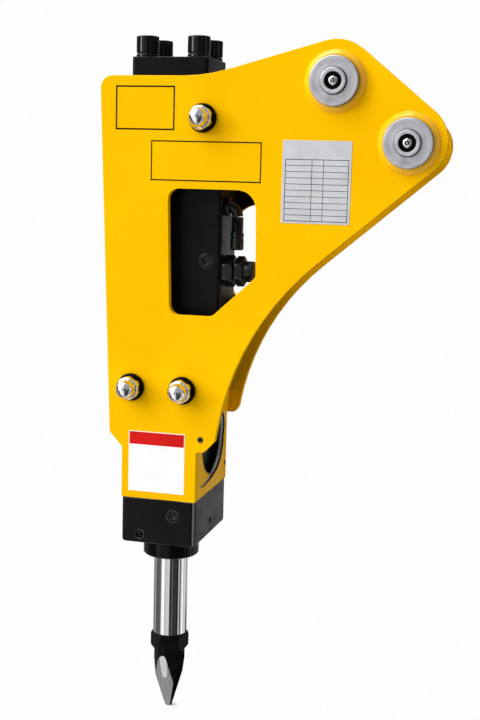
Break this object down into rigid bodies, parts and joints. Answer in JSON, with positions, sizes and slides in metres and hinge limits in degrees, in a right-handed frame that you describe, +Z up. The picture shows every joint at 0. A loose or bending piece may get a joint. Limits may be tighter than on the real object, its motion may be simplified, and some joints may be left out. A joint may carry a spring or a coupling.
{
  "type": "hydraulic breaker hammer",
  "caption": "Side-mounted hydraulic breaker: two plates with pin ears clamp a black piston body, and a steel chisel slides in its front head.",
  "frame": {"origin": "centre of the arm pin, midway between the side plates", "axes": "+Z up along the tool, +X from the tool axis towards the pins, -Y the front"},
  "size_m": [0.5613, 0.2788, 1.1658],
  "materials": {
    "yellow_paint": "gloss yellow paint on flame-cut plate",
    "black_paint": "semi-gloss black paint on castings and fittings",
    "bare_steel": "turned or ground bare steel",
    "chrome": "bright plated domed nuts",
    "rubber": "black lip seal"
  },
  "bodies": {
    "bracket_and_body": {"side_plate_front": "yellow_paint", "side_plate_rear": "yellow_paint", "box_wall_right": "yellow_paint", "box_wall_left": "yellow_paint", "arm_collar_front": "yellow_paint", "arm_collar_rear": "yellow_paint", "link_collar_front": "yellow_paint", "link_collar_rear": "yellow_paint", "back_head": "black_paint", "cylinder": "black_paint", "front_head": "black_paint", "lower_bush": "black_paint", "retainer_plug": "black_paint", "inlet_adaptor": "black_paint", "inlet_cap": "black_paint", "outlet_elbow": "black_paint", "outlet_cap": "black_paint", "chest_plug": "black_paint", "tie_bolt_front_left": "black_paint", "tie_bolt_front_right": "black_paint", "tie_bolt_rear_left": "black_paint", "tie_bolt_rear_right": "black_paint", "tie_washer_front_left": "black_paint", "tie_washer_front_right": "black_paint", "tie_washer_rear_left": "black_paint", "tie_washer_rear_right": "black_paint", "side_washer_upper_front": "black_paint", "side_washer_upper_rear": "black_paint", "side_washer_lower_left_front": "black_paint", "side_washer_lower_left_rear": "black_paint", "side_washer_lower_right_front": "black_paint", "side_washer_lower_right_rear": "black_paint", "tool_nipple": "bare_steel", "gas_valve": "bare_steel", "valve_plug": "bare_steel", "seal_retainer": "bare_steel", "thrust_bush": "bare_steel", "retaining_pin": "bare_steel", "bush_lock_pin": "bare_steel", "side_nut_upper_front": "chrome", "side_nut_upper_rear": "chrome", "side_nut_lower_left_front": "chrome", "side_nut_lower_left_rear": "chrome", "side_nut_lower_right_front": "chrome", "side_nut_lower_right_rear": "chrome", "side_bolt_upper": "chrome", "side_bolt_lower_left": "chrome", "side_bolt_lower_right": "chrome", "dust_seal": "rubber"},
    "arm_pin_set": {"arm_pin": "bare_steel", "arm_disc_front": "bare_steel", "arm_disc_rear": "bare_steel", "arm_nipple": "bare_steel"},
    "link_pin_set": {"link_pin": "bare_steel", "link_disc_front": "bare_steel", "link_disc_rear": "bare_steel", "link_nipple": "bare_steel"},
    "tool": {"chisel": "bare_steel"},
    "striking_piston": {"piston": "bare_steel"},
    "spool": {"valve_spool": "bare_steel"}
  },
  "joints": [
    {"name": "arm_pin_turn", "type": "hinge", "parent": "bracket_and_body", "child": "arm_pin_set", "pos_m": [0, 0, 0], "axis": [0, 1, 0], "continuous": true},
    {"name": "link_pin_turn", "type": "hinge", "parent": "bracket_and_body", "child": "link_pin_set", "pos_m": [0.11741, 0, -0.09173], "axis": [0, 1, 0], "continuous": true},
    {"name": "tool_slide", "type": "slide", "parent": "bracket_and_body", "child": "tool", "axis": [0, 0, 1], "range_m": [0, 0.035]},
    {"name": "piston_slide", "type": "slide", "parent": "bracket_and_body", "child": "striking_piston", "axis": [0, 0, 1], "range_m": [0, 0.07]},
    {"name": "spool_slide", "type": "slide", "parent": "bracket_and_body", "child": "spool", "axis": [0, 0, 1], "range_m": [0, 0.012]}
  ]
}
